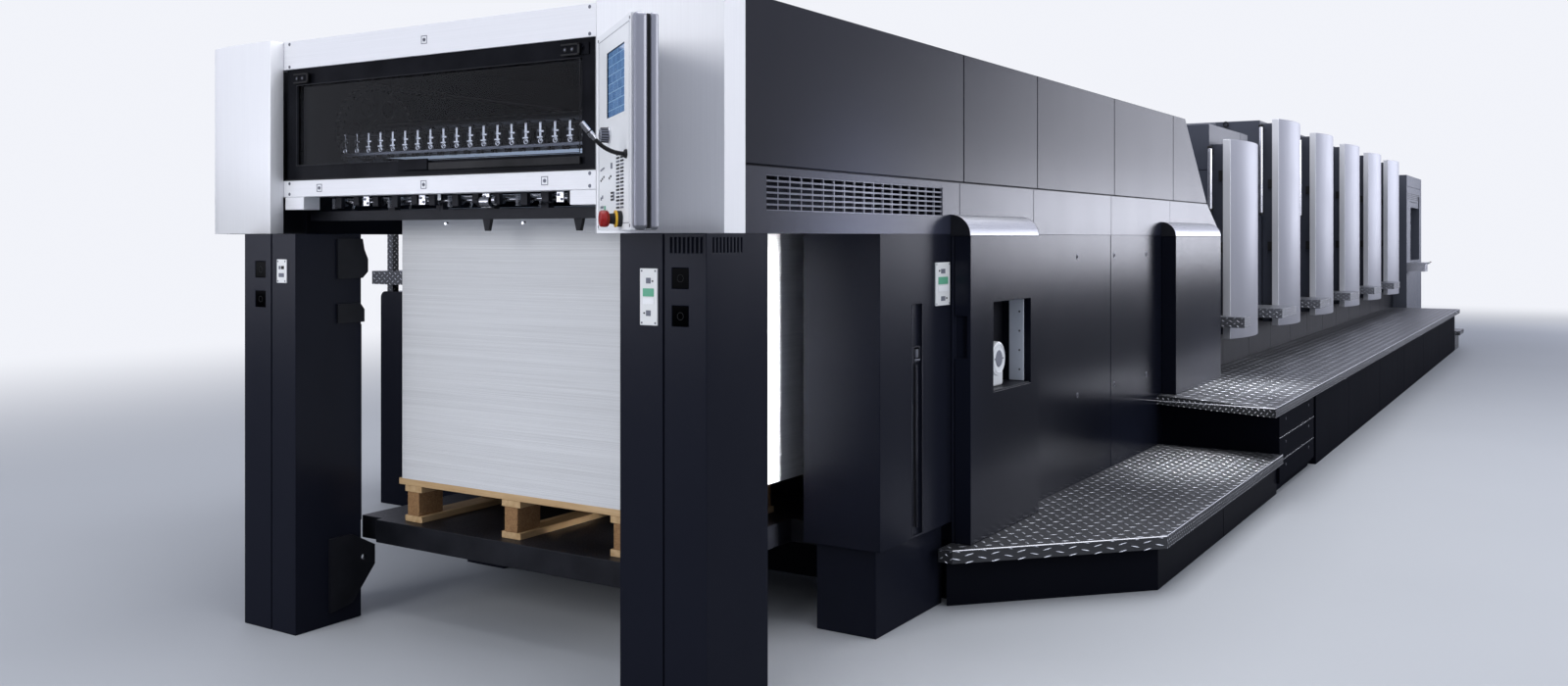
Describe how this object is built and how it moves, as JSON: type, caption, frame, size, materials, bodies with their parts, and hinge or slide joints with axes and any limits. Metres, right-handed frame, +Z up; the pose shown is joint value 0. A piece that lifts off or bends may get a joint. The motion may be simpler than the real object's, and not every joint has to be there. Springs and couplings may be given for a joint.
{
  "type": "offset printing press",
  "caption": "Sheet-fed printing press: raised delivery head over a pile of sheets, swivel console, dark hood with steps, silver unit covers in a row, and a feeder.",
  "frame": {"origin": "middle of the bounding box at floor level", "axes": "+X along the line from the delivery to the feeder, +Y from the operator side to the drive side, +Z up"},
  "size_m": [15.0281, 3.51, 2],
  "materials": {
    "black_coat": "satin black powder coat",
    "silver_coat": "satin silver coat",
    "tinted_glass": "clear tinted pane",
    "bright_steel": "ground steel",
    "guide_plate": "smooth pale plate",
    "console_white": "satin white",
    "console_screen": "glossy screen and controls",
    "pallet_wood": "rough sawn softwood",
    "paper": "stacked white sheets",
    "dark_coat": "satin dark blue grey coat",
    "grille_metal": "satin",
    "bottle_plastic": "white translucent plastic",
    "tread_plate": "raised pattern tread plate"
  },
  "bodies": {
    "machine": {"delivery_post_near": "black_coat", "delivery_post_far": "black_coat", "rear_post_near": "black_coat", "rear_post_far": "black_coat", "chain_guard": "black_coat", "button_panels": "console_white", "head_beams": "silver_coat", "corner_cover_near": "silver_coat", "corner_cover_far": "silver_coat", "window_frame": "black_coat", "window_glass": "tinted_glass", "gripper_bar": "bright_steel", "chain_wheels": "bright_steel", "sheet_guide": "guide_plate", "sheet_stop_rail": "black_coat", "console_hinge": "black_coat", "head_side_near": "dark_coat", "head_side_far": "dark_coat", "hood_body": "dark_coat", "hood_roof": "dark_coat", "hood_upper_panels": "dark_coat", "hood_lower_panels": "dark_coat", "air_grille": "grille_metal", "front_cabinet": "dark_coat", "rear_cabinet": "dark_coat", "cabinet_caps": "silver_coat", "bottle": "bottle_plastic", "side_panels": "dark_coat", "lower_step": "tread_plate", "lower_step_plinth": "black_coat", "gallery_plate": "tread_plate", "gallery_plinth": "dark_coat", "drawer_fronts": "dark_coat", "feeder_step": "tread_plate", "machine_bed": "dark_coat", "unit_1": "dark_coat", "unit_2": "dark_coat", "unit_3": "dark_coat", "unit_4": "dark_coat", "unit_5": "dark_coat", "unit_6": "dark_coat", "unit_covers": "silver_coat", "unit_treads": "tread_plate", "unit_handles": "silver_coat", "feeder_frame": "silver_coat", "feed_board": "silver_coat", "feeder_desk": "console_white", "feeder_head": "bright_steel", "feeder_board": "black_coat", "feeder_pile": "paper", "drive_cabinets": "dark_coat", "drive_ledge": "tread_plate"},
    "pile_lift": {"pile_board": "black_coat", "pallet": "pallet_wood", "paper_pile": "paper"},
    "console": {"console_case": "console_white", "console_controls": "console_screen"}
  },
  "joints": [
    {"name": "delivery_lift", "type": "slide", "parent": "machine", "child": "pile_lift", "axis": [0, 0, 1], "range_m": [-0.2, 0]},
    {"name": "console_swivel", "type": "hinge", "parent": "machine", "child": "console", "pos_m": [-7.19706, -0.8947, 1.466], "axis": [0, 0, 1], "range_deg": [-30, 30]}
  ]
}
